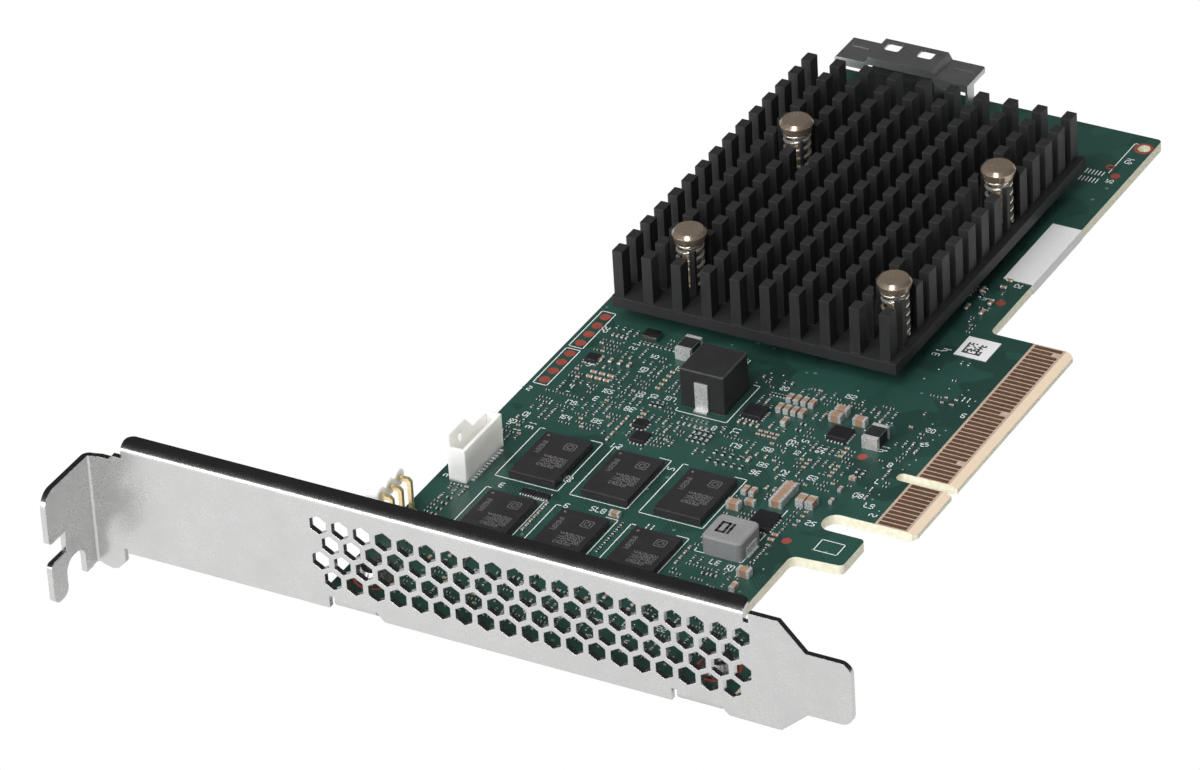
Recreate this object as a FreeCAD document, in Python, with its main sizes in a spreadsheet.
import FreeCAD, Part
import math
import os

import Sketcher
from FreeCAD import Vector

# Storage controller card: a green circuit board with an edge connector, a folded steel
# bracket with hexagonal vents, a pin-fin heatsink on four sprung push pins, memory,
# inductors and a cable connector at the far end.
#
# Frame: x = 0 at the outer ends of the edge contacts, y = 0 at the middle of the key
# slot, z = 0 on the component face. +X points out of the edge connector, +Y away from
# the bracket, +Z away from the component face. Millimetres.

os.makedirs("parts", exist_ok=True)
doc = FreeCAD.newDocument("controller_card")
sheet = doc.addObject("Spreadsheet::Sheet", "sizes")
pieces = []


class Size:
    """A length known as a number and as the formula over the sheet's cells that gives it."""

    def __init__(self, number, formula):
        self.number = number
        self.formula = formula

    def __add__(self, other):
        other = as_size(other)
        return Size(self.number + other.number, f"({self.formula} + {other.formula})")

    def __sub__(self, other):
        other = as_size(other)
        return Size(self.number - other.number, f"({self.formula} - {other.formula})")

    def __mul__(self, other):
        other = as_size(other)
        return Size(self.number * other.number, f"({self.formula} * {other.formula})")

    def __truediv__(self, other):
        other = as_size(other)
        return Size(self.number / other.number, f"({self.formula} / {other.formula})")

    def __neg__(self):
        return Size(-self.number, f"(0 - {self.formula})")

    __radd__ = __add__
    __rmul__ = __mul__

    def __rsub__(self, other):
        return as_size(other) - self


def as_size(thing):
    """A plain number counts as a size that no cell drives."""
    if isinstance(thing, Size):
        return thing
    return Size(float(thing), f"({float(thing)})")


def cell(alias, number):
    """Writes one driving dimension into the sheet and hands it back as a Size."""
    row = len(sheet.getUsedCells()) // 2 + 1
    sheet.set(f"A{row}", alias.replace("_", " "))
    sheet.set(f"B{row}", str(number))
    sheet.setAlias(f"B{row}", alias)
    return Size(float(number), f"sizes.{alias}")


def bind(thing, prop, size):
    """Ties one property of an object to the formula of a size."""
    thing.setExpression(prop, as_size(size).formula)


def piece(thing, label):
    """Names an object as one of the card's sub-parts."""
    thing.Label = label
    pieces.append(thing)
    return thing


def body(label, x=0, y=0, z=0, kept=True):
    """A part-design body whose own origin sits at the given place."""
    made = doc.addObject("PartDesign::Body", label)
    made.AllowCompound = True
    for axis, place in (("x", x), ("y", y), ("z", z)):
        bind(made, f"Placement.Base.{axis}", place)
    return piece(made, label) if kept else made


def origin_part(host, role):
    """The body's own datum plane or axis of that role."""
    return next(part for part in host.Origin.OriginFeatures if part.Role == role)


def sketch(host, name, plane, depth=0):
    """An empty sketch on one of the body's datum planes, moved along its normal."""
    made = host.newObject("Sketcher::SketchObject", f"{host.Name}_{name}")
    made.AttachmentSupport = [(origin_part(host, plane), "")]
    made.MapMode = "FlatFace"
    bind(made, "AttachmentOffset.Base.z", depth)
    return made


def tie(drawing, kind, refs, size):
    """Adds one dimension to a sketch and binds it."""
    index = drawing.addConstraint(Sketcher.Constraint(kind, *refs, as_size(size).number))
    drawing.setExpression(f"Constraints[{index}]", as_size(size).formula)


def polygon(drawing, corners):
    """Closes straight edges through the corners, each corner tied to its two sizes."""
    first = drawing.GeometryCount
    spots = [Vector(as_size(u).number, as_size(v).number, 0) for u, v in corners]
    count = len(spots)
    edges = [Part.LineSegment(spots[i], spots[(i + 1) % count]) for i in range(count)]
    drawing.addGeometry(edges, False)
    for i, (u, v) in enumerate(corners):
        here = first + i
        drawing.addConstraint(Sketcher.Constraint("Coincident", here, 2, first + (i + 1) % count, 1))
        tie(drawing, "DistanceX", (-1, 1, here, 1), u)
        tie(drawing, "DistanceY", (-1, 1, here, 1), v)
    return drawing


def rectangle(drawing, u0, v0, u1, v1):
    """A rectangle between two opposite corners."""
    return polygon(drawing, [(u0, v0), (u1, v0), (u1, v1), (u0, v1)])


def circle(drawing, u, v, radius):
    """A circle with its centre and radius bound."""
    at = Vector(as_size(u).number, as_size(v).number, 0)
    ring = Part.Circle(at, Vector(0, 0, 1), as_size(radius).number)
    index = drawing.addGeometry(ring, False)
    tie(drawing, "DistanceX", (-1, 1, index, 3), u)
    tie(drawing, "DistanceY", (-1, 1, index, 3), v)
    tie(drawing, "Radius", (index,), radius)
    return drawing


def extrude(host, kind, drawing, length, flip=False):
    """A pad or a pocket of a sketch; flip sends it against the sketch's normal."""
    made = host.newObject(f"PartDesign::{kind}", f"{drawing.Name}_{kind.lower()}")
    made.Profile = drawing
    made.Reversed = flip
    bind(made, "Length", length)
    drawing.Visibility = False
    host.Tip = made
    doc.recompute()
    return made


def pad(host, drawing, length, flip=False):
    return extrude(host, "Pad", drawing, length, flip)


def pocket(host, drawing, length, flip=False):
    before = host.Tip.Shape.Volume
    made = extrude(host, "Pocket", drawing, length, flip)
    if not made.Shape.Volume < before - 1e-6:
        raise ValueError(f"{drawing.Name} cuts nothing")
    return made


def edges_at(shape, spots, axes=(0, 1)):
    """Names of the straight edges that cross the given spots, seen along the third axis."""
    names = []
    for number, edge in enumerate(shape.Edges, 1):
        ends = [tuple(vertex.Point[axis] for axis in axes) for vertex in edge.Vertexes]
        for spot in spots:
            target = [as_size(part).number for part in spot]
            if len(ends) == 2 and all(math.dist(end, target) < 1e-3 for end in ends):
                names.append(f"Edge{number}")
    return names


def dress(host, kind, names, size, name):
    """A fillet or chamfer of named edges of the body so far."""
    base = host.Tip
    made = host.newObject(f"PartDesign::{kind}", f"{host.Name}_{name}")
    made.Base = (base, names)
    bind(made, "Radius" if kind == "Fillet" else "Size", size)
    host.Tip = made
    doc.recompute()
    return made


def round_at(host, spots, radius, name, axes=(0, 1)):
    return dress(host, "Fillet", edges_at(host.Tip.Shape, spots, axes), radius, name)


def grid(host, feature, name, runs):
    """Repeats a feature along one or two directions: (axis role, whole run, count)."""
    steps = []
    made = host.newObject("PartDesign::MultiTransform", f"{host.Name}_{name}")
    made.Originals = [feature]
    for role, run, count in runs:
        step = doc.addObject("PartDesign::LinearPattern", f"{made.Name}_{role[0].lower()}")
        step.Direction = (origin_part(host, role), [""])
        bind(step, "Length", run)
        bind(step, "Occurrences", count)
        host.addObject(step)
        steps.append(step)
    made.Transformations = steps
    host.Tip = made
    doc.recompute()
    return made


def block(name, x, y, z, wide, deep, tall):
    """A plain bar from its lowest corner, every number bound."""
    made = doc.addObject("Part::Box", name)
    for prop, size in (("Length", wide), ("Width", deep), ("Height", tall)):
        bind(made, prop, size)
    for axis, place in (("x", x), ("y", y), ("z", z)):
        bind(made, f"Placement.Base.{axis}", place)
    return made


def group(label, parts):
    """Like pieces that share one node, each still a solid of its own."""
    made = doc.addObject("Part::Compound", label)
    made.Links = parts
    return piece(made, label)


def turned(label, x, y, z, profile, kept=True):
    """A turned piece: a (radius, height) profile spun about its own upright axis."""
    made = body(label, x, y, z, kept)
    drawing = polygon(sketch(made, "profile", "XZ_Plane"), profile)
    spun = made.newObject("PartDesign::Revolution", f"{label}_turning")
    spun.Profile = drawing
    spun.ReferenceAxis = (drawing, ["V_Axis"])
    spun.Angle = 360
    made.Tip = spun
    return made


# Driving dimensions, in millimetres, by the piece that they belong to.

# Circuit board
board_thick = cell("board_thick", 1.57)
board_near = cell("board_near_edge", 57.15)
board_far = cell("board_far_edge", 98.5)
board_left = cell("board_left_edge", 67.21)
board_recess = cell("board_recess_edge", 11.95)
tip_out = cell("connector_tip", 1.69)
tip_cut = cell("connector_tip_corner", 0.6)
tab_near = cell("connector_near_edge", 12.15)
tab_far = cell("connector_far_edge", 39.15)
key_width = cell("key_slot_width", 1.9)
key_depth = cell("key_slot_inner_end", 7.3)
gap_near = cell("notch_near_edge", 16.3)
gap_end = cell("notch_inner_end", 11.75)
hook_out = cell("small_tab_end", 4.05)
hook_near = cell("small_tab_near_edge", 23.4)
foot_out = cell("foot_end", 3.4)
foot_back = cell("foot_back_edge", 41.0)
bevel_in = cell("tip_bevel_length", 1.3)
bevel_down = cell("tip_bevel_depth", 0.42)
board_corner = cell("board_corner_radius", 0.8)
inner_corner = cell("board_inner_corner_radius", 1.2)
hook_slope = cell("small_tab_slope", 0.6)
pin_hole = cell("push_pin_hole_radius", 1.6)
pin_x0 = cell("push_pin_left", 54.4)
pin_x1 = cell("push_pin_right", 21.0)
pin_y0 = cell("push_pin_near", 27.3)
pin_y1 = cell("push_pin_far", 61.3)
tool_in = cell("tooling_hole_from_side", 1.5)
tool_back = cell("tooling_hole_from_far_edge", 3.37)
tool_r = cell("tooling_hole_radius", 1.0)
screw_x0 = cell("screw_left", 62.15)
screw_x1 = cell("screw_right", 8.2)
screw_y = cell("screw_row", 52.3)
screw_hole = cell("screw_hole_radius", 1.6)

# Edge contacts
pad_width = cell("contact_width", 0.7)
pad_length = cell("contact_length", 4.35)
pad_short = cell("short_contact_length", 3.2)
pad_pitch = cell("contact_pitch", 1.0)
pad_thick = cell("contact_thickness", 0.05)
key_offset = cell("first_contact_from_key", 1.5)

# Bracket
steel = cell("bracket_thickness", 0.86)
board_gap = cell("bracket_to_board_gap", 0.34)
plate_low = cell("plate_lower_edge", 2.6)
flange_top = cell("flange_top", 15.85)
flange_run = cell("flange_straight_run", 1.3)
flange_bend = cell("flange_bend_radius", 0.5)
flange_left = cell("flange_left_end", 98.9)
flange_right = cell("flange_right_end", 0.7)
flange_corner = cell("flange_corner_radius", 1.2)
plate_high = cell("plate_top_past_fold", 12.8)
plate_crest = cell("plate_crest_past_fold", 1.6)
plate_step = cell("plate_top_by_flange", 13.5)
step_out = cell("plate_step_past_flange", 1.6)
tab_face = cell("tab_chassis_face", 104.57)
tab_bend = cell("tab_bend_radius", 0.4)
tab_reach = cell("tab_depth", 11.43)
tab_top = cell("tab_top", 12.5)
slot_low = cell("screw_slot_low", 0.8)
slot_high = cell("screw_slot_high", 4.1)
slot_depth = cell("screw_slot_depth", 4.1)
prong_low = cell("prong_end", 6.0)
prong_width = cell("prong_width", 3.6)
hook_gap_high = cell("hook_gap_top", 0.8)
hook_gap_width = cell("hook_gap_width", 4.9)
lobe_low = cell("lobe_end", 5.45)
bump_low = cell("bump_low", 5.9)
bump_right = cell("bump_right", 99.9)
ear_top = cell("ear_top", 15.15)
ear_left = cell("ear_left", 0.1)
ear_right = cell("ear_right", 4.65)
ear_low = cell("ear_low", 2.73)
tongue_root = cell("tongue_root", 8.65)
tongue_low = cell("tongue_low", 0.94)
tongue_high = cell("tongue_high", 10.94)
tongue_end = cell("tongue_end", 15.45)
ear_bend = cell("ear_bend_radius", 0.3)
ear_run = cell("ear_run", 8.6)
ear_width = cell("ear_width", 6.6)
slit_width = cell("slit_width", 0.85)
slit_high = cell("slit_above_bend", 0.6)
bend_flare = cell("ear_flare", 1.4)
relief_depth = cell("relief_slot_depth", 0.9)
fold_rise = cell("lower_edge_rise_at_fold", 0.6)
ear_corner = cell("ear_corner_radius", 1.5)
tab_corner = cell("tab_corner_radius", 2.4)
prong_corner = cell("prong_corner_radius", 1.4)
slot_corner = cell("screw_slot_corner_radius", 0.7)
hook_gap_round = cell("hook_gap_radius", 2.1)
tongue_corner = cell("tongue_corner_radius", 1.8)
tapped_hole = cell("tapped_hole_radius", 1.42)
vent_across = cell("vent_across_corners", 3.05)
vent_pitch = cell("vent_pitch", 3.475)
vent_rise = cell("vent_row_pitch", 2.95)
vent_left = cell("vent_first_x", 67.15)
vent_low = cell("vent_first_z", 2.1)
vents_long = cell("vents_in_long_row", 20)
vents_short = cell("vents_in_short_row", 19)
vent_rows = cell("vent_rows_of_a_kind", 2)

# Bracket screws
screw_head = cell("screw_head_radius", 2.7)
screw_head_tall = cell("screw_head_height", 1.9)
screw_shank = cell("screw_shank_radius", 1.37)
screw_out = cell("screw_below_ear", 0.8)
drive_radius = cell("screw_drive_radius", 1.1)
drive_deep = cell("screw_drive_depth", 1.1)

# Controller package
pack_side = cell("package_side", 27.0)
pack_thick = cell("package_substrate", 0.9)
lid_side = cell("lid_side", 25.2)
lid_thick = cell("lid_thickness", 1.2)
pad_side = cell("thermal_pad_side", 22.0)
pad_high = cell("thermal_pad_thickness", 0.5)

# Heatsink
sink_margin_left = cell("heatsink_past_left_pins", 9.3)
sink_margin_right = cell("heatsink_past_right_pins", 3.7)
sink_margin_near = cell("heatsink_past_near_pins", 7.5)
sink_margin_far = cell("heatsink_past_far_pins", 21.5)
sink_base = cell("heatsink_base", 1.8)
sink_high = cell("heatsink_height", 9.4)
fin_wide = cell("fin_width", 1.6)
fin_deep = cell("fin_depth", 2.3)
fin_pitch_x = cell("fin_pitch_across", 4.83)
fin_pitch_y = cell("fin_pitch_along", 4.285)
fin_inset = cell("fin_inset_across", 0.25)
fin_inset_y = cell("fin_inset_along", 0.4)
fins_x = cell("fins_across", 10)
fins_y = cell("fins_along", 15)
seat_radius = cell("spring_seat_radius", 3.1)
shaft_hole = cell("heatsink_hole_radius", 1.65)

# Push pins
head_top = cell("push_pin_top", 14.0)
head_flat = cell("push_pin_head_flat", 2.15)
head_wide = cell("push_pin_head_radius", 2.6)
head_thick = cell("push_pin_head_thickness", 1.8)
head_under = cell("push_pin_head_underside", 2.3)
head_round = cell("push_pin_head_rim_below_top", 0.6)
shaft = cell("push_pin_shaft", 1.3)
barb_wide = cell("push_pin_barb", 1.9)
barb_long = cell("barb_length", 2.2)
barb_slit = cell("barb_slit", 0.5)
wire = cell("spring_wire_radius", 0.3)
coil = cell("spring_coil_radius", 1.85)
coil_pitch = cell("spring_pitch", 1.42)
coil_closed = cell("spring_closed_pitch", 0.64)

# Memory
chip_wide = cell("memory_width", 7.5)
chip_deep = cell("memory_length", 11.2)
chip_high = cell("memory_height", 1.2)
chip_ease = cell("memory_edge", 0.12)
memory_left = cell("memory_left_column", 53.8)
memory_step = cell("memory_column_pitch", 11.65)
memory_back = cell("memory_back_row", 17.1)
memory_row = cell("memory_row_pitch", 16.3)

# Power coil
choke_x = cell("power_inductor_x", 40.4)
choke_y = cell("power_inductor_y", 7.6)
choke_wide = cell("power_inductor_width", 7.2)
choke_deep = cell("power_inductor_length", 7.6)
choke_high = cell("power_inductor_height", 6.4)
choke_corner = cell("power_inductor_corner", 0.25)
strap_wide = cell("power_inductor_strap", 2.1)
strap_high = cell("power_inductor_strap_height", 4.6)
strap_foot = cell("power_inductor_foot", 0.9)
strap_thick = cell("power_inductor_strip", 0.3)

# Moulded coil
coil_x = cell("moulded_inductor_x", 20.4)
coil_y = cell("moulded_inductor_y", 25.4)
coil_wide = cell("moulded_inductor_width", 6.3)
coil_deep = cell("moulded_inductor_length", 6.3)
coil_high = cell("moulded_inductor_height", 3.0)
coil_corner = cell("moulded_inductor_corner", 0.9)
side_wide = cell("moulded_terminal_width", 3.0)
side_high = cell("moulded_terminal_height", 1.5)
side_foot = cell("moulded_terminal_foot", 0.45)
side_thick = cell("moulded_terminal_thickness", 0.2)

# Chip parts: length, width, height and end cap of each case
large_case = (cell("large_case_length", 2.0), cell("large_case_width", 1.25),
              cell("large_case_height", 1.2), cell("large_case_cap", 0.45))
medium_case = (cell("medium_case_length", 1.6), cell("medium_case_width", 0.82),
               cell("medium_case_height", 0.8), cell("medium_case_cap", 0.38))
small_case = (cell("small_case_length", 1.05), cell("small_case_width", 0.55),
              cell("small_case_height", 0.5), cell("small_case_cap", 0.27))
bead_case = (cell("small_inductor_length", 4.0), cell("small_inductor_width", 2.5),
             cell("small_inductor_height", 2.0), cell("small_inductor_cap", 0.7))
capacitor_pitch = cell("capacitor_pitch", 1.2)
large_pitch = cell("large_capacitor_pitch", 1.4)
under_step_x = cell("underside_pitch_across", 3.1)
under_step_y = cell("underside_pitch_along", 2.6)

# Resistor networks
network_long = cell("resistor_network_length", 2.1)
network_wide = cell("resistor_network_width", 1.3)
network_high = cell("resistor_network_height", 0.4)

# Small integrated circuits
converter_side = cell("converter_side", 3.1)
converter_high = cell("converter_height", 0.9)
switch_wide = cell("switch_width", 3.4)
switch_deep = cell("switch_length", 4.3)
logic_side = cell("logic_side", 2.4)
logic_high = cell("logic_height", 0.75)
small_logic_side = cell("small_logic_side", 1.9)
ic_ease = cell("package_edge", 0.08)

# Clock can
can_wide = cell("clock_width", 2.5)
can_deep = cell("clock_length", 2.0)
can_high = cell("clock_height", 0.9)
can_corner = cell("clock_corner", 0.3)

# Bare copper pads
copper_thick = cell("copper_thickness", 0.04)
pad_radius = cell("header_pad_radius", 0.85)
test_radius = cell("test_pad_radius", 0.75)
header_pitch = cell("header_pad_pitch", 2.54)
header_from_edge = cell("header_pads_from_edge", 1.95)
header_mid = cell("header_pads_middle", 11.05)
header_split = cell("header_pads_split", 10.8)
test_x = cell("test_pad_x", 14.0)

# Labels
paper = cell("label_thickness", 0.1)
sticker_in = cell("sticker_width", 4.7)
sticker_y0 = cell("sticker_near", 53.4)
sticker_y1 = cell("sticker_far", 70.1)
code_x = cell("code_label_x", 11.6)
code_y = cell("code_label_y", 34.5)
code_side = cell("code_label_side", 5.2)

# Signal header
box_in = cell("signal_header_from_edge", 2.3)
box_near = cell("signal_header_near", 26.8)
box_wide = cell("signal_header_width", 2.8)
box_long = cell("signal_header_length", 10.8)
box_high = cell("signal_header_height", 5.5)
box_wall = cell("signal_header_wall", 0.5)
box_floor = cell("signal_header_floor", 1.2)
tongue_tall = cell("signal_header_tongue_height", 7.8)
tongue_flat = cell("signal_header_tongue_flat", 4.5)
tongue_long = cell("signal_header_tongue_length", 6.5)
latch_y = cell("signal_header_latch_from_near", 2.4)
latch_wide = cell("signal_header_latch_width", 1.0)
latch_low = cell("signal_header_latch_low", 5.0)
latch_high = cell("signal_header_latch_high", 6.3)
post_pitch = cell("signal_contact_pitch", 0.75)
post_side = cell("signal_contact_side", 0.3)
post_high = cell("signal_contact_height", 4.2)
post_tail = cell("signal_contact_tail", 0.7)
post_foot = cell("signal_contact_foot", 0.2)

# Side header
side_y = cell("side_header_first_pin", 36.2)
side_pitch = cell("side_header_pitch", 2.54)
side_pin = cell("side_header_pin", 0.6)
side_pin_x = cell("side_header_hole_from_edge", 1.6)
side_axis = cell("side_header_axis_height", 5.45)
side_depth = cell("side_header_body_depth", 1.7)
side_clear = cell("side_header_from_edge", 0.05)
side_stub = cell("side_header_stub", 0.35)
side_tail = cell("side_header_tail", 1.2)
side_body = cell("side_header_body_height", 2.54)

# Cable connector
cage_in = cell("cage_from_left_edge", 2.81)
cage_wide = cell("cage_width", 22.6)
cage_past = cell("cage_past_far_edge", 0.4)
cage_deep = cell("cage_depth", 6.2)
cage_sheet = cell("cage_sheet", 0.35)
wing_high = cell("cage_wing_height", 5.7)
roof_in = cell("cage_roof_from_side", 5.8)
roof_wide = cell("cage_roof_width", 10.7)
roof_high = cell("cage_roof_height", 6.8)
roof_slope = cell("cage_roof_slope", 0.6)
leg_wide = cell("cage_leg_width", 2.3)
leg_round = cell("cage_leg_below_wing", 1.0)
cage_lip = cell("cage_lip_height", 1.35)
window_from_edge = cell("cage_window_from_edge", 0.8)
window_deep = cell("cage_window_depth", 2.3)
window_1_in = cell("cage_window_1_from_side", 1.0)
window_2_in = cell("cage_window_2_from_side", 6.6)
window_wide = cell("cage_window_width", 2.5)
window_corner = cell("cage_window_corner_radius", 0.5)
wing_slot_in = cell("cage_slot_from_side", 0.9)
wing_slot_wide = cell("cage_slot_width", 3.0)
wing_slot_y = cell("cage_slot_from_back", 3.6)
wing_slot_deep = cell("cage_slot_depth", 0.4)
core_set = cell("cable_housing_setback", 0.25)
core_high = cell("cable_housing_height", 4.1)
core_past = cell("cable_housing_past_roof", 0.3)
mouth_in = cell("cable_mouth_from_side", 0.7)
mouth_low = cell("cable_mouth_low", 1.1)
mouth_high = cell("cable_mouth_height", 1.9)
mouth_deep = cell("cable_mouth_depth", 4.4)
tail_wide = cell("cable_tail_width", 0.3)
tail_long = cell("cable_tail_length", 0.8)
tail_thick = cell("cable_tail_thickness", 0.15)


# Circuit board: one routed sheet of glass-fibre laminate. A card of this kind is
# 1.57 mm thick, and its key slot is 57.15 mm from the edge at the bracket.

PINS = 3
side_hole = side_pin * 0.71
side_pin_spots = [(side_pin_x - board_left, -side_y - side_pitch * i) for i in range(PINS)]
push_pin_spots = [(-x, y) for x in (pin_x0, pin_x1) for y in (pin_y0, pin_y1)]
screw_spots = [(-screw_x0, -screw_y), (-screw_x1, -screw_y)]

board = body("board")
half_key = key_width / 2
outline = polygon(sketch(board, "outline", "XY_Plane", -board_thick), [
    (-board_left, -board_near), (-foot_out, -board_near), (-foot_out, -foot_back),
    (-gap_end, -foot_back), (-gap_end, -hook_near - hook_slope), (-hook_out, -hook_near),
    (-hook_out, -gap_near), (-gap_end, -gap_near), (-gap_end, -tab_near),
    (tip_out - tip_cut, -tab_near), (tip_out, -tab_near + tip_cut),
    (tip_out, -half_key), (-key_depth, -half_key), (-key_depth, half_key),
    (tip_out, half_key), (tip_out, tab_far - tip_cut), (tip_out - tip_cut, tab_far),
    (-board_recess, tab_far), (-board_recess, board_far), (-board_left, board_far),
])
pad(board, outline, board_thick)

bevels = sketch(board, "bevels", "XZ_Plane", tab_near)
bevel_root = tip_out - bevel_in
polygon(bevels, [(tip_out, 0), (tip_out, -bevel_down), (bevel_root, 0)])
polygon(bevels, [(tip_out, -board_thick), (bevel_root, -board_thick),
                 (tip_out, bevel_down - board_thick)])
pocket(board, bevels, tab_near + tab_far)
round_at(board, [(-key_depth, -half_key), (-key_depth, half_key)], key_width * 0.45, "key_end")
round_at(board, [(-gap_end, -gap_near), (-gap_end, -tab_near)], (gap_near - tab_near) * 0.45, "notch_end")
round_at(board, [(-hook_out, -gap_near), (-hook_out, -hook_near), (-board_recess, board_far)],
         board_corner, "corners")
round_at(board, [(-gap_end, -hook_near - hook_slope), (-board_recess, tab_far)], inner_corner, "recess")
holes = sketch(board, "holes", "XY_Plane")
for x, y in push_pin_spots:
    circle(holes, x, y, pin_hole)
for x, y in screw_spots:
    circle(holes, x, y, screw_hole)
for x, y in side_pin_spots:
    circle(holes, x, y, side_hole)
circle(holes, -board_recess - tool_in, board_far - tool_back, tool_r)
pocket(board, holes, board_thick)


# Edge contacts: gold pads on both faces, 49 a side at 1 mm pitch, with the key slot
# between the eleventh and the twelfth. A few presence-detect pads are shorter.
CONTACTS = 49
BEFORE_KEY = 11
SHORT_ON_TOP = (17, 31, 48)
SHORT_BELOW = (1,)


def contact_y(number):
    """Middle of one contact, counted from the bracket."""
    if number <= BEFORE_KEY:
        return -key_offset - pad_pitch * (BEFORE_KEY - number)
    return key_offset + pad_pitch * (number - BEFORE_KEY - 1)


def contacts(label, height, short):
    bars = []
    for number in range(1, CONTACTS + 1):
        length = pad_short if number in short else pad_length
        bars.append(block(f"{label}_{number}", -pad_length, contact_y(number) - pad_width / 2,
                          height, length, pad_width, pad_thick))
    return group(label, bars)


contacts("contacts_component_side", 0, SHORT_ON_TOP)
contacts("contacts_solder_side", -board_thick - pad_thick, SHORT_BELOW)


# Bracket: one blank of 0.86 mm steel, folded four ways: the vented plate, a stiffening
# flange rolled back along its top, the slotted tab that the chassis screw holds, and two
# tapped ears under the board.

inner_y = board_near + board_gap
outer_y = inner_y + steel
bend_z = flange_top - steel - flange_bend
ear_bend_z = ear_bend - board_thick
fold_x = tab_face - tab_bend
tab_end_y = outer_y + tab_reach


def ear_sides(screw_x):
    """The left and the right edge of the ear that carries one screw."""
    return -screw_x - ear_width / 2, -screw_x + ear_width / 2


bracket = body("bracket")
lower_edge = [(tongue_root, tongue_low), (ear_right - 0.2, -ear_low)]
for screw_x in (screw_x1, screw_x0):
    left, right = ear_sides(screw_x)
    lower_edge += [(right + bend_flare, -plate_low), (right, ear_bend_z), (left, ear_bend_z),
                   (left, ear_bend_z + slit_high), (left - slit_width, ear_bend_z + slit_high),
                   (left - slit_width, -plate_low)]
plate = polygon(sketch(bracket, "plate", "XZ_Plane", inner_y), [
    (-fold_x, tab_top), (plate_crest - fold_x, plate_high),
    (-flange_left - step_out - 0.6, plate_high),
    (-flange_left - step_out, plate_step), (-flange_left, plate_step), (-flange_left, bend_z),
    (-flange_right, bend_z), (-flange_right, bend_z - relief_depth),
    (ear_left, bend_z - relief_depth), (ear_left, ear_top), (ear_right, ear_top),
    (tongue_root, tongue_high), (tongue_end, tongue_high), (tongue_end, tongue_low),
    *lower_edge,
    (-bump_right + 0.5, -plate_low), (-bump_right + 0.5, slit_high - plate_low),
    (-bump_right, slit_high - plate_low), (-bump_right, 1.6 - bump_low),
    (-bump_right - 1.3, 0.25 - bump_low), (-bump_right - 2.3, -bump_low),
    (-fold_x + 0.6, 0.35 - bump_low), (-fold_x, fold_rise - bump_low),
])
pad(bracket, plate, steel)


def folded(host, name, plane, depth, centre, radius, start, run, width, leaf_first=False):
    """A quarter bend and the straight leaf after it, drawn in section and extruded.

    The section is two arcs about the centre, from the angle start to start + 90 degrees,
    and a straight leaf of the given run beyond one end.
    """
    drawing = sketch(host, name, plane, depth)
    u, v = (as_size(part) for part in centre)
    inner, outer = as_size(radius), radius + steel
    turn = math.radians(start)
    a = (round(math.cos(turn)), round(math.sin(turn)))
    b = (-a[1], a[0])
    plain, leaf = (2, 1) if leaf_first else (1, 2)
    plain_way, leaf_way = (b, a) if leaf_first else (a, b)

    def spot(ring, way, along=0):
        return (u + ring * way[0] - along * plain_way[0], v + ring * way[1] - along * plain_way[1])

    def at(place):
        return Vector(as_size(place[0]).number, as_size(place[1]).number, 0)

    middle = at((u, v))
    arcs = [Part.ArcOfCircle(Part.Circle(middle, Vector(0, 0, 1), ring.number), turn,
                             turn + math.pi / 2) for ring in (inner, outer)]
    outer_far, inner_far = spot(outer, leaf_way, run), spot(inner, leaf_way, run)
    corners = [spot(inner, plain_way), spot(outer, plain_way), spot(outer, leaf_way), outer_far,
               inner_far, spot(inner, leaf_way)]
    ends = [at(corner) for corner in corners]
    lines = [Part.LineSegment(ends[0], ends[1])]
    lines += [Part.LineSegment(ends[i], ends[i + 1]) for i in (2, 3, 4)]
    drawing.addGeometry(arcs + lines, False)
    joins = [(2, 1, 0, plain), (2, 2, 1, plain), (3, 1, 1, leaf), (3, 2, 4, 1), (4, 2, 5, 1),
             (5, 2, 0, leaf), (0, 3, 1, 3)]
    drawing.addConstraint([Sketcher.Constraint("Coincident", *join) for join in joins])
    for arc, ring in ((0, inner), (1, outer)):
        tie(drawing, "Radius", (arc,), ring)
        for end, way in ((1, a), (2, b)):
            level = "Horizontal" if way[0] else "Vertical"
            drawing.addConstraint(Sketcher.Constraint(level, arc, 3, arc, end))
    for refs, place in (((-1, 1, 0, 3), (u, v)), ((-1, 1, 3, 2), outer_far), ((-1, 1, 4, 2), inner_far)):
        tie(drawing, "DistanceX", refs, place[0])
        tie(drawing, "DistanceY", refs, place[1])
    return pad(host, drawing, width)


folded(bracket, "flange", "YZ_Plane", -flange_left, (flange_bend - inner_y, bend_z), flange_bend,
       90, flange_run, flange_left - flange_right, leaf_first=True)
tab_leaf = tab_reach - tab_bend
folded(bracket, "tab", "XY_Plane", -prong_low, (-fold_x, -outer_y - tab_bend), tab_bend,
       90, tab_leaf, prong_low + tab_top)
for number, screw_x in enumerate((screw_x1, screw_x0), 1):
    left, right = ear_sides(screw_x)
    folded(bracket, f"ear_{number}", "YZ_Plane", left, (ear_bend - inner_y, ear_bend_z), ear_bend,
           180, ear_run, ear_width)
    round_at(bracket, [(left, ear_bend - inner_y + ear_run), (right, ear_bend - inner_y + ear_run)],
             ear_corner, f"ear_corners_{number}")
taps = sketch(bracket, "taps", "XY_Plane", -board_thick)
for x, y in screw_spots:
    circle(taps, x, y, tapped_hole)
pocket(bracket, taps, steel)

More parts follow.
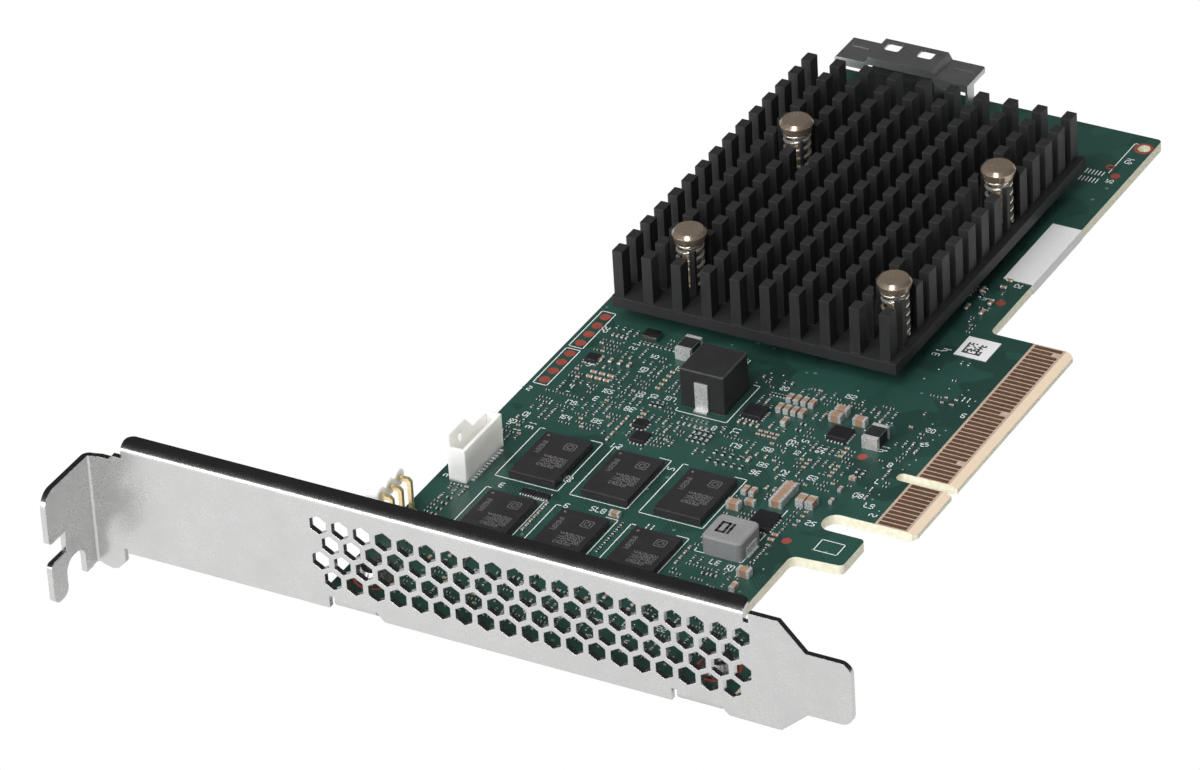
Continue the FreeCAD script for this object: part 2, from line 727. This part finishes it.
fold_edge = outer_y + steel + tab_bend
prong_in = tab_end_y - prong_width
cutouts = sketch(bracket, "tab_cutouts", "YZ_Plane", -tab_face)
rectangle(cutouts, -tab_end_y - 1, slot_low, slot_depth - tab_end_y, slot_high)
polygon(cutouts, [
    (-prong_in, -prong_low - 1), (-prong_in, -hook_gap_high),
    (hook_gap_width - prong_in, -hook_gap_high), (hook_gap_width - prong_in, -lobe_low),
    (-fold_edge, -lobe_low), (-fold_edge, -prong_low - 1),
])
pocket(bracket, cutouts, steel)
under_fold = rectangle(sketch(bracket, "under_fold", "YZ_Plane", -fold_x), -fold_edge,
                       -prong_low - 1, 1 - inner_y, fold_rise - bump_low)
pocket(bracket, under_fold, steel + tab_bend)
round_at(bracket, [(-tab_end_y, tab_top)], tab_corner, "tab_corner", axes=(1, 2))
round_at(bracket, [(-tab_end_y, -prong_low), (-prong_in, -prong_low)], prong_corner, "prong_end",
         axes=(1, 2))
round_at(bracket, [(-tab_end_y, slot_low), (-tab_end_y, slot_high)], slot_corner, "slot_mouth",
         axes=(1, 2))
flange_back = steel + flange_bend + flange_run - outer_y
round_at(bracket, [(-flange_left, flange_back), (-flange_right, flange_back)], flange_corner,
         "flange_corners")
round_at(bracket, [(-prong_in, -hook_gap_high), (hook_gap_width - prong_in, -hook_gap_high)],
         hook_gap_round, "hook_gap", axes=(1, 2))
round_at(bracket, [(tongue_end, tongue_low), (tongue_end, tongue_high)], tongue_corner,
         "tongue_corners", axes=(0, 2))


def vents(name, x, z, count):
    """Two rows of hexagons, point up, two row pitches apart."""
    reach = vent_across / 2
    flat = reach * math.cos(math.pi / 6)
    drawing = polygon(sketch(bracket, name, "XZ_Plane", outer_y), [
        (x + flat, z - reach / 2), (x + flat, z + reach / 2), (x, z + reach),
        (x - flat, z + reach / 2), (x - flat, z - reach / 2), (x, z - reach),
    ])
    first = pocket(bracket, drawing, steel)
    grid(bracket, first, f"{name}_rows", [("X_Axis", vent_pitch * (count - 1), count),
                                          ("Z_Axis", vent_rise * 2 * (vent_rows - 1), vent_rows)])


vents("vents_short", vent_pitch / 2 - vent_left, vent_low, vents_short)
vents("vents_long", -vent_left, vent_low + vent_rise, vents_long)
# Bracket screws: two pan heads on the component side, through the board into the ears.
screws = []
for number, (x, y) in enumerate(screw_spots, 1):
    tail = board_thick + steel + screw_out
    screws.append(turned(f"bracket_screw_{number}", x, y, 0, [
        (0, -tail), (screw_shank, -tail), (screw_shank, 0), (screw_head, 0),
        (screw_head * 0.75, screw_head_tall), (drive_radius, screw_head_tall),
        (drive_radius, screw_head_tall - drive_deep), (0, screw_head_tall - drive_deep),
    ], kept=False))
group("bracket_screws", screws)


# Controller package under the heatsink: laminate, nickel-plated lid and a soft thermal pad.
pack_x = (pin_x0 + pin_x1) / -2
pack_y = (pin_y0 + pin_y1) / 2


def plate_piece(label, x, y, z, wide, deep, tall, corner=None, edge=None):
    """A rectangular piece centred on a spot, with rounded upright corners and eased top edges."""
    made = body(label, x, y, z)
    rim = rectangle(sketch(made, "rim", "XY_Plane"), wide / -2, deep / -2, wide / 2, deep / 2)
    pad(made, rim, tall)
    if corner is not None:
        spots = [(wide * i / 2, deep * j / 2) for i in (-1, 1) for j in (-1, 1)]
        round_at(made, spots, corner, "corners")
    if edge is not None:
        top = [f"Edge{number}" for number, line in enumerate(made.Tip.Shape.Edges, 1)
               if all(abs(point.Point.z - tall.number) < 1e-3 for point in line.Vertexes)]
        dress(made, "Chamfer", top, edge, "eased")
    return made


plate_piece("controller_substrate", pack_x, pack_y, 0, pack_side, pack_side, pack_thick)
plate_piece("controller_lid", pack_x, pack_y, pack_thick, lid_side, lid_side, lid_thick)
plate_piece("thermal_pad", pack_x, pack_y, pack_thick + lid_thick, pad_side, pad_side, pad_high)


# Heatsink: black anodised aluminium, a flat base with rows of rectangular pins, milled
# away round the four push pins so that their springs bear on the base.

sink_left, sink_right = pin_x0 + sink_margin_left, pin_x1 - sink_margin_right
sink_near, sink_far = pin_y0 - sink_margin_near, pin_y1 + sink_margin_far
sink_z = pack_thick + lid_thick + pad_high
base_top = sink_z + sink_base
heatsink = body("heatsink")
base = rectangle(sketch(heatsink, "base", "XY_Plane", sink_z), -sink_left, sink_near, -sink_right, sink_far)
pad(heatsink, base, sink_base)
fin_x, fin_y = fin_inset - sink_left, sink_near + fin_inset_y
fin = rectangle(sketch(heatsink, "fin", "XY_Plane", base_top), fin_x, fin_y, fin_x + fin_wide,
                fin_y + fin_deep)
first_fin = pad(heatsink, fin, sink_high - sink_base)
grid(heatsink, first_fin, "fins", [("X_Axis", fin_pitch_x * (fins_x - 1), fins_x),
                                   ("Y_Axis", fin_pitch_y * (fins_y - 1), fins_y)])
seats = sketch(heatsink, "seats", "XY_Plane", sink_z + sink_high)
shafts = sketch(heatsink, "shafts", "XY_Plane", base_top)
for x, y in push_pin_spots:
    circle(seats, x, y, seat_radius)
    circle(shafts, x, y, shaft_hole)
pocket(heatsink, seats, sink_high - sink_base)
pocket(heatsink, shafts, sink_base)


# Push pins: turned nickel-plated posts with a broad head, sprung down on the base, with a
# slit barb that snaps open below the board.
SPRING_SIDES = 6
SPRING_STEPS = 8
CLOSED_TURN = 0.8

for number, (x, y) in enumerate(push_pin_spots, 1):
    barb_z = -board_thick
    push_pin = turned(f"push_pin_{number}", x, y, 0, [
        (0, barb_z - barb_long), (barb_wide * 0.5, barb_z - barb_long), (barb_wide, barb_z),
        (shaft, barb_z), (shaft, head_top - head_thick), (head_under, head_top - head_thick),
        (head_wide, head_top - head_round), (head_flat, head_top), (0, head_top),
    ])
    doc.recompute()
    slit = rectangle(sketch(push_pin, "slit", "XZ_Plane", barb_wide), barb_slit / -2,
                     barb_z - barb_long - 1, barb_slit / 2, barb_z + 0.2)
    pocket(push_pin, slit, barb_wide * 2)


def spring_solid():
    """A compression spring as one ruled skin through six-sided sections of its wire.

    A section's centre runs round the coil radius, and climbs by the closed pitch in the
    end turns and by the active pitch between them, so that the ends lie nearly flat.
    """
    low, high = wire.number * math.sin(math.pi / 3), head_top.number - head_thick.number - base_top.number
    ends_rise = CLOSED_TURN * coil_closed.number
    active = (high - 2 * low - 2 * ends_rise) / coil_pitch.number
    turns = active + 2 * CLOSED_TURN
    sections = []
    count = round(turns * SPRING_STEPS)
    for step in range(count + 1):
        turn = turns * step / count
        climb = (min(turn, CLOSED_TURN) + max(turn - active - CLOSED_TURN, 0)) * coil_closed.number
        climb += min(max(turn - CLOSED_TURN, 0), active) * coil_pitch.number
        angle = turn * math.tau
        out = Vector(math.cos(angle), math.sin(angle), 0)
        ring = []
        for side in range(SPRING_SIDES + 1):
            round_wire = math.tau * side / SPRING_SIDES
            reach = coil.number + wire.number * math.cos(round_wire)
            ring.append(out * reach + Vector(0, 0, low + climb + wire.number * math.sin(round_wire)))
        sections.append(Part.makePolygon(ring))
    return Part.makeLoft(sections, True, True)


spring_form = spring_solid()
for number, (x, y) in enumerate(push_pin_spots, 1):
    spring = doc.addObject("Part::Feature", f"spring_{number}")
    spring.Shape = spring_form
    spring.Placement.Base = Vector(as_size(x).number, as_size(y).number, base_top.number)
    piece(spring, f"spring_{number}")


# Memory: six ball-grid packages in two rows between the bracket and the supplies.
MEMORY_COLUMNS = 3
for row in range(2):
    for column in range(MEMORY_COLUMNS):
        plate_piece(f"memory_chip_{row * MEMORY_COLUMNS + column + 1}",
                    memory_step * column - memory_left, -memory_back - memory_row * row, 0,
                    chip_wide, chip_deep, chip_high, edge=chip_ease)


def clip(name, x, y, turn, wide, tall, foot, sheet_thick):
    """A folded terminal: a strap up the side of a coil and a foot on the board.

    The turn is the direction that the foot points in, in degrees from +X.
    """
    made = body(name, x, y, 0, kept=False)
    made.Placement.Rotation = FreeCAD.Rotation(Vector(0, 0, 1), turn)
    side = polygon(sketch(made, "side", "XZ_Plane", wide / -2), [
        (0, 0), (foot, 0), (foot, sheet_thick), (sheet_thick, sheet_thick), (sheet_thick, tall),
        (0, tall),
    ])
    pad(made, side, wide)
    return made


def pair_of_clips(label, x, y, half, turn, *sizes):
    """The two terminals of one coil, on opposite sides."""
    across = (round(math.cos(math.radians(turn))), round(math.sin(math.radians(turn))))
    return group(label, [
        clip(f"{label}_{end}", x + half * across[0] * way, y + half * across[1] * way,
             turn + 90 * (1 - way), *sizes) for end, way in ((1, 1), (2, -1))])


# Power coil: a tall pressed-ferrite block on a copper strip that comes up both ends.
plate_piece("power_inductor", -choke_x, choke_y, 0, choke_wide, choke_deep, choke_high,
            corner=choke_corner, edge=choke_corner / 2)
pair_of_clips("power_inductor_terminals", -choke_x, choke_y, choke_deep / 2, 90, strap_wide,
              strap_high, strap_foot, strap_thick)

# Moulded coil: a low block of grey iron-powder composite with side terminals.
plate_piece("moulded_inductor", -coil_x, -coil_y, 0, coil_wide, coil_deep, coil_high,
            corner=coil_corner, edge=coil_corner / 4)
pair_of_clips("moulded_inductor_terminals", -coil_x, -coil_y, coil_wide / 2, 0, side_wide,
              side_high, side_foot, side_thick)


# Signal header: a white moulded box with a latch tongue on its left wall, and a row of
# contacts whose tails lie on the board along its right side.
POSTS = 12
box_x0, box_y0 = box_in - board_left, -box_near
box_x1, box_y1 = box_x0 + box_wide, box_y0 + box_long
box_mid_x, box_mid_y = (box_x0 + box_x1) / 2, (box_y0 + box_y1) / 2
housing = body("signal_header_housing")
outside = rectangle(sketch(housing, "outside", "XY_Plane"), box_x0, box_y0, box_x1, box_y1)
pad(housing, outside, box_high)
inside = rectangle(sketch(housing, "inside", "XY_Plane", box_high), box_x0 + box_wall,
                   box_y0 + box_wall, box_x1 - box_wall, box_y1 - box_wall)
pocket(housing, inside, box_high - box_floor)
tongue = polygon(sketch(housing, "tongue", "YZ_Plane", box_x0), [
    (box_y0, 0), (box_y0 + tongue_long, 0), (box_y0 + tongue_long, box_high),
    (box_y0 + tongue_flat, tongue_tall), (box_y0, tongue_tall),
])
pad(housing, tongue, box_wall)
latch = rectangle(sketch(housing, "latch", "YZ_Plane", box_x0 + box_wall), box_y0 + latch_y,
                  latch_low, box_y0 + latch_y + latch_wide, latch_high)
pocket(housing, latch, box_wall)


def signal_contact(host, name, y):
    """The L-shaped section of one contact: a tail on the board and a post in the box."""
    half = post_side / 2
    return polygon(sketch(host, name, "XZ_Plane", -y - half), [
        (box_mid_x - half, 0), (box_x1 + post_tail, 0), (box_x1 + post_tail, post_foot),
        (box_mid_x + half, post_foot), (box_mid_x + half, post_high), (box_mid_x - half, post_high),
    ])


first_post = box_mid_y - post_pitch * (POSTS - 1) / 2
slot = pocket(housing, signal_contact(housing, "contact_slot", first_post), post_side, flip=True)
grid(housing, slot, "contact_slots", [("Y_Axis", post_pitch * (POSTS - 1), POSTS)])
contact_bodies = body("signal_header_contacts")
first_contact = pad(contact_bodies, signal_contact(contact_bodies, "contact", first_post), post_side)
grid(contact_bodies, first_contact, "contacts", [("Y_Axis", post_pitch * (POSTS - 1), POSTS)])


# Side header: a row of white octagonal insulators beyond the board's edge, held by three
# square pins that bend down into the board.
insulator = body("side_header_insulator")
half_body, cut = side_body / 2, side_body * 0.29
outline = []
for number in reversed(range(PINS)):
    y = -side_y - side_pitch * number
    outline += [(y - half_body, side_axis - half_body + cut), (y - half_body + cut, side_axis - half_body),
                (y + half_body - cut, side_axis - half_body)]
outline.append((half_body - side_y, side_axis - half_body + cut))
for number in range(PINS):
    y = -side_y - side_pitch * number
    outline += [(y + half_body, side_axis + half_body - cut), (y + half_body - cut, side_axis + half_body),
                (y - half_body + cut, side_axis + half_body)]
outline.append((-side_y - side_pitch * (PINS - 1) - half_body, side_axis + half_body - cut))
front_x = -board_left - side_clear
blank = polygon(sketch(insulator, "blank", "YZ_Plane", front_x - side_depth), outline)
pad(insulator, blank, side_depth)
half_pin = side_pin / 2
through = sketch(insulator, "pin_holes", "YZ_Plane", front_x)
bent = []
for number, (x, y) in enumerate(side_pin_spots, 1):
    rectangle(through, y - half_pin, side_axis - half_pin, y + half_pin, side_axis + half_pin)
    pin = body(f"side_pin_{number}", 0, y, 0, kept=False)
    end_x, tail_z = front_x - side_depth - side_stub, -board_thick - side_tail
    shape = polygon(sketch(pin, "shape", "XZ_Plane", -half_pin), [
        (end_x, side_axis - half_pin), (x - half_pin, side_axis - half_pin), (x - half_pin, tail_z),
        (x + half_pin, tail_z), (x + half_pin, side_axis - half_pin / 2),
        (x - half_pin / 2, side_axis + half_pin), (end_x, side_axis + half_pin),
    ])
    pad(pin, shape, side_pin)
    bent.append(pin)
pocket(insulator, through, side_depth)
group("side_header_pins", bent)


# Cable connector at the far end: a stamped steel cage over a black housing whose card
# slot opens along +Y, with a row of solder tails at the back.
cage_far = board_far + cage_past
cage_near = cage_far - cage_deep
cage = body("cable_cage")
cage_x0, cage_x1 = cage_in - board_left, cage_in - board_left + cage_wide
roof_x0, roof_x1 = cage_x0 + roof_in, cage_x0 + roof_in + roof_wide
section = polygon(sketch(cage, "section", "XZ_Plane", -cage_near), [
    (cage_x0, 0), (cage_x0, wing_high), (roof_x0 - roof_slope, wing_high), (roof_x0, roof_high),
    (roof_x1, roof_high), (roof_x1 + roof_slope, wing_high), (cage_x1, wing_high), (cage_x1, 0),
    (cage_x1 - cage_sheet, 0), (cage_x1 - cage_sheet, wing_high - cage_sheet),
    (roof_x1 + roof_slope - cage_sheet / 2, wing_high - cage_sheet),
    (roof_x1 - cage_sheet / 2, roof_high - cage_sheet),
    (roof_x0 + cage_sheet / 2, roof_high - cage_sheet),
    (roof_x0 - roof_slope + cage_sheet / 2, wing_high - cage_sheet),
    (cage_x0 + cage_sheet, wing_high - cage_sheet), (cage_x0 + cage_sheet, 0),
])
pad(cage, section, cage_deep, flip=True)
half_sheet = cage_sheet / 2
lip = polygon(sketch(cage, "lip", "XZ_Plane", -cage_near), [
    (cage_x0 + half_sheet, wing_high - half_sheet), (roof_x0 - roof_slope, wing_high - half_sheet),
    (roof_x0, roof_high - half_sheet), (roof_x1, roof_high - half_sheet),
    (roof_x1 + roof_slope, wing_high - half_sheet), (cage_x1 - half_sheet, wing_high - half_sheet),
    (cage_x1 - half_sheet, wing_high - cage_lip), (roof_x1 + roof_slope, wing_high - cage_lip),
    (roof_x1, roof_high - cage_lip), (roof_x0, roof_high - cage_lip),
    (roof_x0 - roof_slope, wing_high - cage_lip), (cage_x0 + half_sheet, wing_high - cage_lip),
])
pad(cage, lip, cage_sheet, flip=True)
open_sides = rectangle(sketch(cage, "open_sides", "YZ_Plane", cage_x1), cage_near + leg_wide, -1,
                       cage_far + 1, wing_high - leg_round)
pocket(cage, open_sides, cage_wide)
round_at(cage, [(side, wing_high) for side in (cage_x0, cage_x1)], cage_sheet, "rounded", axes=(0, 2))
windows = sketch(cage, "windows", "XY_Plane", roof_high)
window_y0 = cage_far - window_from_edge - window_deep
window_corners = []
for start in (roof_x0 + window_1_in, roof_x0 + window_2_in):
    rectangle(windows, start, window_y0, start + window_wide, window_y0 + window_deep)
    window_corners += [(x, y) for x in (start, start + window_wide)
                       for y in (window_y0, window_y0 + window_deep)]
pocket(cage, windows, cage_sheet * 1.5)
round_at(cage, window_corners, window_corner, "window_corners")
wing_slots = sketch(cage, "wing_slots", "XY_Plane", wing_high)
for start in (cage_x0 + wing_slot_in, cage_x1 - wing_slot_in - wing_slot_wide):
    rectangle(wing_slots, start, cage_near + wing_slot_y, start + wing_slot_wide,
              cage_near + wing_slot_y + wing_slot_deep)
pocket(cage, wing_slots, cage_sheet)

core_x0, core_x1 = roof_x0 - core_past, roof_x1 + core_past
core = body("cable_housing")
core_shape = rectangle(sketch(core, "blank", "XZ_Plane", -cage_near - core_set), core_x0, 0, core_x1,
                       core_high)
pad(core, core_shape, cage_deep - core_set * 2, flip=True)
mouth = rectangle(sketch(core, "mouth", "XZ_Plane", core_set - cage_far), core_x0 + mouth_in, mouth_low,
                  core_x1 - mouth_in, mouth_low + mouth_high)
mouth_cut = core.newObject("PartDesign::Pocket", "cable_housing_mouth_cut")
mouth_cut.Profile = mouth
mouth_cut.Reversed = True
bind(mouth_cut, "Length", mouth_deep)
core.Tip = mouth_cut
doc.recompute()

TAILS = 20
tail_pitch = (core_x1 - core_x0 - mouth_in * 2) / (TAILS - 1)
group("cable_tails", [
    block(f"cable_tail_{i}", core_x0 + mouth_in + tail_pitch * i - tail_wide / 2,
          cage_near + core_set - tail_long, 0, tail_wide, tail_long, tail_thick)
    for i in range(TAILS)])


def place_rows(count, pitch):
    """Offsets of a centred row."""
    return [pitch * (i - (count - 1) / 2) for i in range(count)]


def end_capped(name, x, y, size, along, z=0.0):
    """A chip part: its core and the two plated end caps, lying along x or y."""
    long, wide, tall, cap = size
    core_half = long / 2 - cap
    made = []
    for key, start, run in (("core", -core_half, core_half * 2), ("cap_a", long / -2, cap),
                            ("cap_b", core_half, cap)):
        if along == "x":
            made.append(block(f"{name}_{key}", x + start, y - wide / 2, z, run, wide, tall))
        else:
            made.append(block(f"{name}_{key}", x - wide / 2, y + start, z, wide, run, tall))
    return made[0], made[1:]


# Ceramic capacitors: tan blocks with plated ends, in three case sizes: (case, x, y, axis).
CAPACITORS = [
    *[("medium", -28.3 + offset, 11.3, "y") for offset in place_rows(4, capacitor_pitch)],
    *[("medium", -28.5 + offset, 8.5, "y") for offset in place_rows(4, capacitor_pitch)],
    ("medium", -28.0, 5.5, "y"), ("large", -21.7, 9.3, "x"), ("large", -21.6, 11.1, "x"),
    ("large", -18.0, 9.7, "x"),
    *[("large", -19.3, -11.6 + offset, "x") for offset in place_rows(4, large_pitch)],
    ("large", -16.3, -11.8, "y"), ("large", -14.8, -11.8, "y"),
    ("medium", -24.9, -12.5, "y"), ("medium", -23.7, -12.5, "y"), ("medium", -22.9, -14.9, "x"),
    ("large", -24.6, -16.6, "x"), ("large", -15.4, -31.0, "x"), ("medium", -15.2, -34.6, "y"),
    ("medium", -38.9, -25.3, "x"), ("small", -12.9, -6.6, "y"), ("small", -12.6, -3.4, "x"),
    ("small", -12.7, -9.8, "y"),
]
CASES = {"large": large_case, "medium": medium_case, "small": small_case}
cores, ends = [], []
for number, (case, x, y, along) in enumerate(CAPACITORS, 1):
    core_block, caps = end_capped(f"capacitor_{number}", x, y, CASES[case], along)
    cores.append(core_block)
    ends += caps
group("capacitors", cores)
group("capacitor_ends", ends)

# Decoupling capacitors on the solder side, in a block under the controller.
under_cores, under_ends = [], []
for row, dy in enumerate(place_rows(4, under_step_y)):
    for column, dx in enumerate(place_rows(4, under_step_x)):
        core_block, caps = end_capped(f"underside_{row}_{column}", pack_x + dx, pack_y + dy, small_case,
                                      "x", -board_thick - small_case[2])
        under_cores.append(core_block)
        under_ends += caps
group("underside_capacitors", under_cores)
group("underside_capacitor_ends", under_ends)

# Small coils: dark moulded chips with plated ends.
bead_core, bead_ends = end_capped("small_inductor_a", -13.9, 6.4, bead_case, "y")
back_core, back_ends = end_capped("small_inductor_b", -49.3, 16.4, bead_case, "y")
group("small_inductors", [bead_core, back_core])
group("small_inductor_ends", bead_ends + back_ends)

# Resistor networks between the two rows of memory.
group("resistor_networks", [
    block(f"resistor_network_{i}", x - network_long / 2, -memory_back - memory_row / 2 - network_wide / 2, 0,
          network_long, network_wide, network_high) for i, x in enumerate((-52.95, -50.6), 1)])

# Small integrated circuits in moulded packages, seated on the board.
plate_piece("converter_1", -33.0, 5.9, 0, converter_side, converter_side, converter_high, edge=ic_ease)
plate_piece("converter_2", -19.2, 5.7, 0, converter_side, converter_side, converter_high, edge=ic_ease)
plate_piece("converter_3", -17.4, -38.6, 0, converter_side, converter_side, converter_high, edge=ic_ease)
plate_piece("power_switch", -18.9, -18.5, 0, switch_wide, switch_deep, converter_high, edge=ic_ease)
plate_piece("flash_memory", -45.0, -6.6, 0, logic_side, logic_side, logic_high, edge=ic_ease)
plate_piece("logic_chip", -46.6, -3.4, 0, small_logic_side, small_logic_side, logic_high, edge=ic_ease)
plate_piece("led_driver", -61.3, 9.2, 0, small_logic_side, small_logic_side, logic_high, edge=ic_ease)

# Clock oscillator: a low metal can just in front of the heatsink.
plate_piece("clock_can", -56.2, 18.0, 0, can_wide, can_deep, can_high, corner=can_corner)

# Bare copper: two rows of four header pads along the left edge and four test pads.
PAD_SIDES = 12


def copper_dot(name, x, y, radius):
    """A thin round pad, drawn with twelve sides."""
    made = doc.addObject("Part::Prism", name)
    made.Polygon = PAD_SIDES
    bind(made, "Circumradius", radius)
    bind(made, "Height", copper_thick)
    bind(made, "Placement.Base.x", x)
    bind(made, "Placement.Base.y", y)
    return made


header_dots = []
for side in (-1, 1):
    for i, offset in enumerate(place_rows(4, header_pitch)):
        header_dots.append(copper_dot(f"header_pad_{side + 1}_{i}", header_from_edge - board_left,
                                      header_mid + header_split * side / 2 + offset, pad_radius))
group("header_pads", header_dots)
group("test_pads", [copper_dot(f"test_pad_{i}", -test_x, y, test_radius)
                    for i, y in enumerate((-21.0, 2.35, 47.1, 86.2), 1)])

# Labels: a blank paper sticker folded over the board's edge, and a small code label.
sticker = body("sticker")
fold_line = polygon(sketch(sticker, "section", "XZ_Plane", -sticker_y0), [
    (-board_recess - sticker_in, 0), (-board_recess, 0), (-board_recess, -board_thick),
    (paper - board_recess, -board_thick), (paper - board_recess, paper),
    (-board_recess - sticker_in, paper),
])
pad(sticker, fold_line, sticker_y1 - sticker_y0, flip=True)
plate_piece("code_label", -code_x, code_y, 0, code_side, code_side, paper)


# Nothing is written unless every feature has rebuilt and every piece is whole.
doc.recompute()
broken = [thing.Name for thing in doc.Objects if {"Invalid", "Error"} & set(thing.State)]
if broken:
    raise ValueError(f"these did not rebuild: {broken}")
for thing in pieces:
    shape = thing.Shape
    if shape.isNull() or not shape.isValid() or not shape.Solids:
        raise ValueError(f"{thing.Label} is not a sound solid")
for thing in pieces:
    thing.Shape.exportStep(f"parts/{thing.Label}.step")
